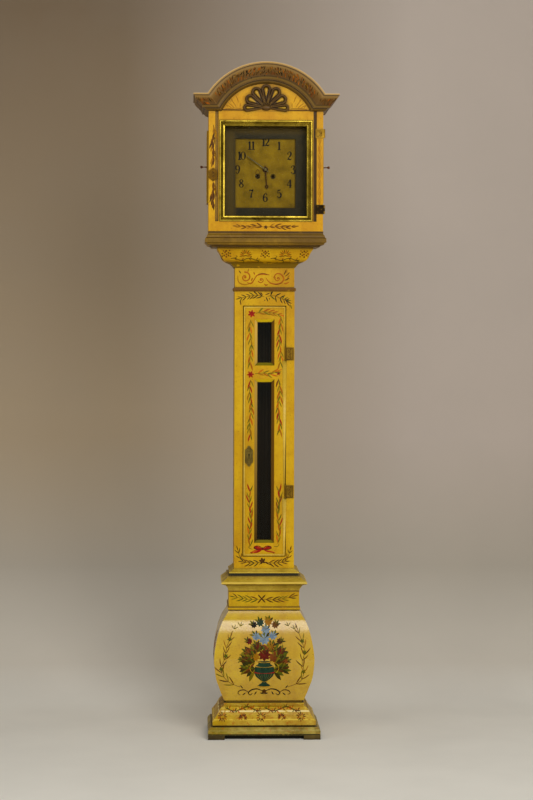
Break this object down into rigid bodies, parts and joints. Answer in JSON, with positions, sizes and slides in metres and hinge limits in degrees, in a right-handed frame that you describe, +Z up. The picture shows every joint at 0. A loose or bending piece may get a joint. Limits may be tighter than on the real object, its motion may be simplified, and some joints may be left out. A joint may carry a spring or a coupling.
{
  "type": "tall case clock",
  "caption": "Slim painted tall case clock with arched hood, glazed hood door over a brass dial, narrow trunk door with windows, swelling bombe base and stepped plinth on block feet",
  "frame": {"origin": "On the floor, under the middle of the clock's width and depth", "axes": "+Z is up, the dial and doors face -Y, and +X is the viewer's right when facing the dial"},
  "size_m": [0.421, 0.2676, 1.9605],
  "materials": {
    "yellow_paint": "aged yellow lacquer",
    "ochre_paint": "darker ochre lacquer",
    "brown_paint": "brown lacquer",
    "dark_paint": "near-black paint",
    "bare_wood": "bare aged softwood",
    "brass": "lacquered brass",
    "old_brass": "dull aged brass",
    "steel": "polished steel",
    "dark_steel": "blued steel",
    "clear_glass": "clear"
  },
  "bodies": {
    "case": {"foot_front_left": "dark_paint", "foot_front_right": "dark_paint", "foot_back_left": "dark_paint", "foot_back_right": "dark_paint", "plinth_base_moulding": "ochre_paint", "plinth_ogee_moulding": "yellow_paint", "bombe_base_shell": "yellow_paint", "base_neck_frieze": "yellow_paint", "waist_moulding": "ochre_paint", "trunk_front_frame": "yellow_paint", "trunk_left_side": "yellow_paint", "trunk_right_side": "yellow_paint", "neck_frieze": "yellow_paint", "throat_moulding": "yellow_paint", "hood_base_moulding": "ochre_paint", "trunk_hinge_upper": "old_brass", "trunk_hinge_lower": "old_brass", "hood_left_side": "yellow_paint", "hood_right_side": "yellow_paint", "tympanum_board": "yellow_paint", "hood_roof": "brown_paint", "back_board": "bare_wood", "hood_cornice": "brown_paint", "shell_carving": "brown_paint", "hood_hinge_upper_case_leaf": "old_brass", "hood_hinge_lower_case_leaf": "old_brass", "dial_plate": "brass", "dial_board": "dark_paint", "seat_board_and_cheeks": "bare_wood", "movement_front_plate": "brass", "movement_back_plate": "brass", "gong_rods_and_block": "steel"},
    "hood_door": {"hood_door_frame": "yellow_paint", "hood_bezel": "brass", "hood_glass": "clear_glass", "hood_door_escutcheon": "old_brass", "hood_hinge_upper_door_leaf": "old_brass", "hood_hinge_lower_door_leaf": "old_brass"},
    "trunk_door": {"trunk_door_frame": "yellow_paint", "lower_window_glass": "clear_glass", "upper_window_glass": "clear_glass", "trunk_door_escutcheon": "old_brass", "trunk_door_lock": "steel"},
    "lock_bolt": {"trunk_lock_bolt": "brass"},
    "left_door": {"left_side_door": "yellow_paint", "left_side_knob": "dark_steel"},
    "right_door": {"right_side_door": "yellow_paint", "right_side_knob": "dark_steel"},
    "minute_train": {"centre_arbor": "steel", "minute_hand": "steel"},
    "hour_train": {"hour_wheel": "brass", "hour_hand": "dark_steel"},
    "minute_wheel": {"minute_wheel": "brass"},
    "time_barrel": {"time_barrel": "brass"},
    "strike_barrel": {"strike_barrel": "brass"},
    "escape_wheel": {"escape_wheel": "brass"},
    "pendulum": {"pendulum_rod": "steel", "pendulum_bob": "brass"},
    "anchor": {"anchor_and_crutch": "steel"},
    "hammer": {"strike_hammer": "brass"}
  },
  "joints": [
    {"name": "hood_door_hinge", "type": "hinge", "parent": "case", "child": "hood_door", "pos_m": [0.1689, -0.08815, 1.647], "axis": [0, 0, 1], "range_deg": [0, 120]},
    {"name": "trunk_door_hinge", "type": "hinge", "parent": "case", "child": "trunk_door", "pos_m": [0.0624, -0.01415, 0.89], "axis": [0, 0, 1], "range_deg": [0, 120]},
    {"name": "lock_bolt_slide", "type": "slide", "parent": "trunk_door", "child": "lock_bolt", "axis": [-1, 0, 0], "range_m": [0, 0.012]},
    {"name": "left_side_door_hinge", "type": "hinge", "parent": "case", "child": "left_door", "pos_m": [-0.1663, 0.09405, 1.663], "axis": [0, 0, -1], "range_deg": [0, 90]},
    {"name": "right_side_door_hinge", "type": "hinge", "parent": "case", "child": "right_door", "pos_m": [0.1663, 0.09405, 1.663], "axis": [0, 0, 1], "range_deg": [0, 90]},
    {"name": "minute_hand_turn", "type": "hinge", "parent": "case", "child": "minute_train", "pos_m": [0, -0.034, 1.655], "axis": [0, 1, 0], "continuous": true},
    {"name": "hour_hand_turn", "type": "hinge", "parent": "case", "child": "hour_train", "pos_m": [0, -0.034, 1.655], "axis": [0, 1, 0], "continuous": true},
    {"name": "minute_wheel_turn", "type": "hinge", "parent": "case", "child": "minute_wheel", "pos_m": [0, -0.022, 1.685], "axis": [0, 1, 0], "continuous": true},
    {"name": "time_barrel_turn", "type": "hinge", "parent": "case", "child": "time_barrel", "pos_m": [0.0224, 0, 1.6354], "axis": [0, 1, 0], "continuous": true},
    {"name": "strike_barrel_turn", "type": "hinge", "parent": "case", "child": "strike_barrel", "pos_m": [-0.0224, 0, 1.6354], "axis": [0, 1, 0], "continuous": true},
    {"name": "escape_wheel_turn", "type": "hinge", "parent": "case", "child": "escape_wheel", "pos_m": [0, 0.02, 1.693], "axis": [0, 1, 0], "continuous": true},
    {"name": "pendulum_swing", "type": "hinge", "parent": "case", "child": "pendulum", "pos_m": [0, 0.04675, 1.709], "axis": [0, 1, 0], "range_deg": [-4, 4]},
    {"name": "anchor_rock", "type": "hinge", "parent": "case", "child": "anchor", "pos_m": [0, 0.03675, 1.709], "axis": [0, 1, 0], "range_deg": [-4, 4]},
    {"name": "hammer_swing", "type": "hinge", "parent": "case", "child": "hammer", "pos_m": [-0.03, 0.06, 1.7], "axis": [0, 1, 0], "range_deg": [0, 15]}
  ],
  "couplings": [
    {"joint": "hour_hand_turn", "follows": "minute_hand_turn", "ratio": 0.083333},
    {"joint": "minute_wheel_turn", "follows": "minute_hand_turn", "ratio": -0.33333},
    {"joint": "time_barrel_turn", "follows": "minute_hand_turn", "ratio": -0.16667},
    {"joint": "anchor_rock", "follows": "pendulum_swing", "ratio": 1}
  ]
}
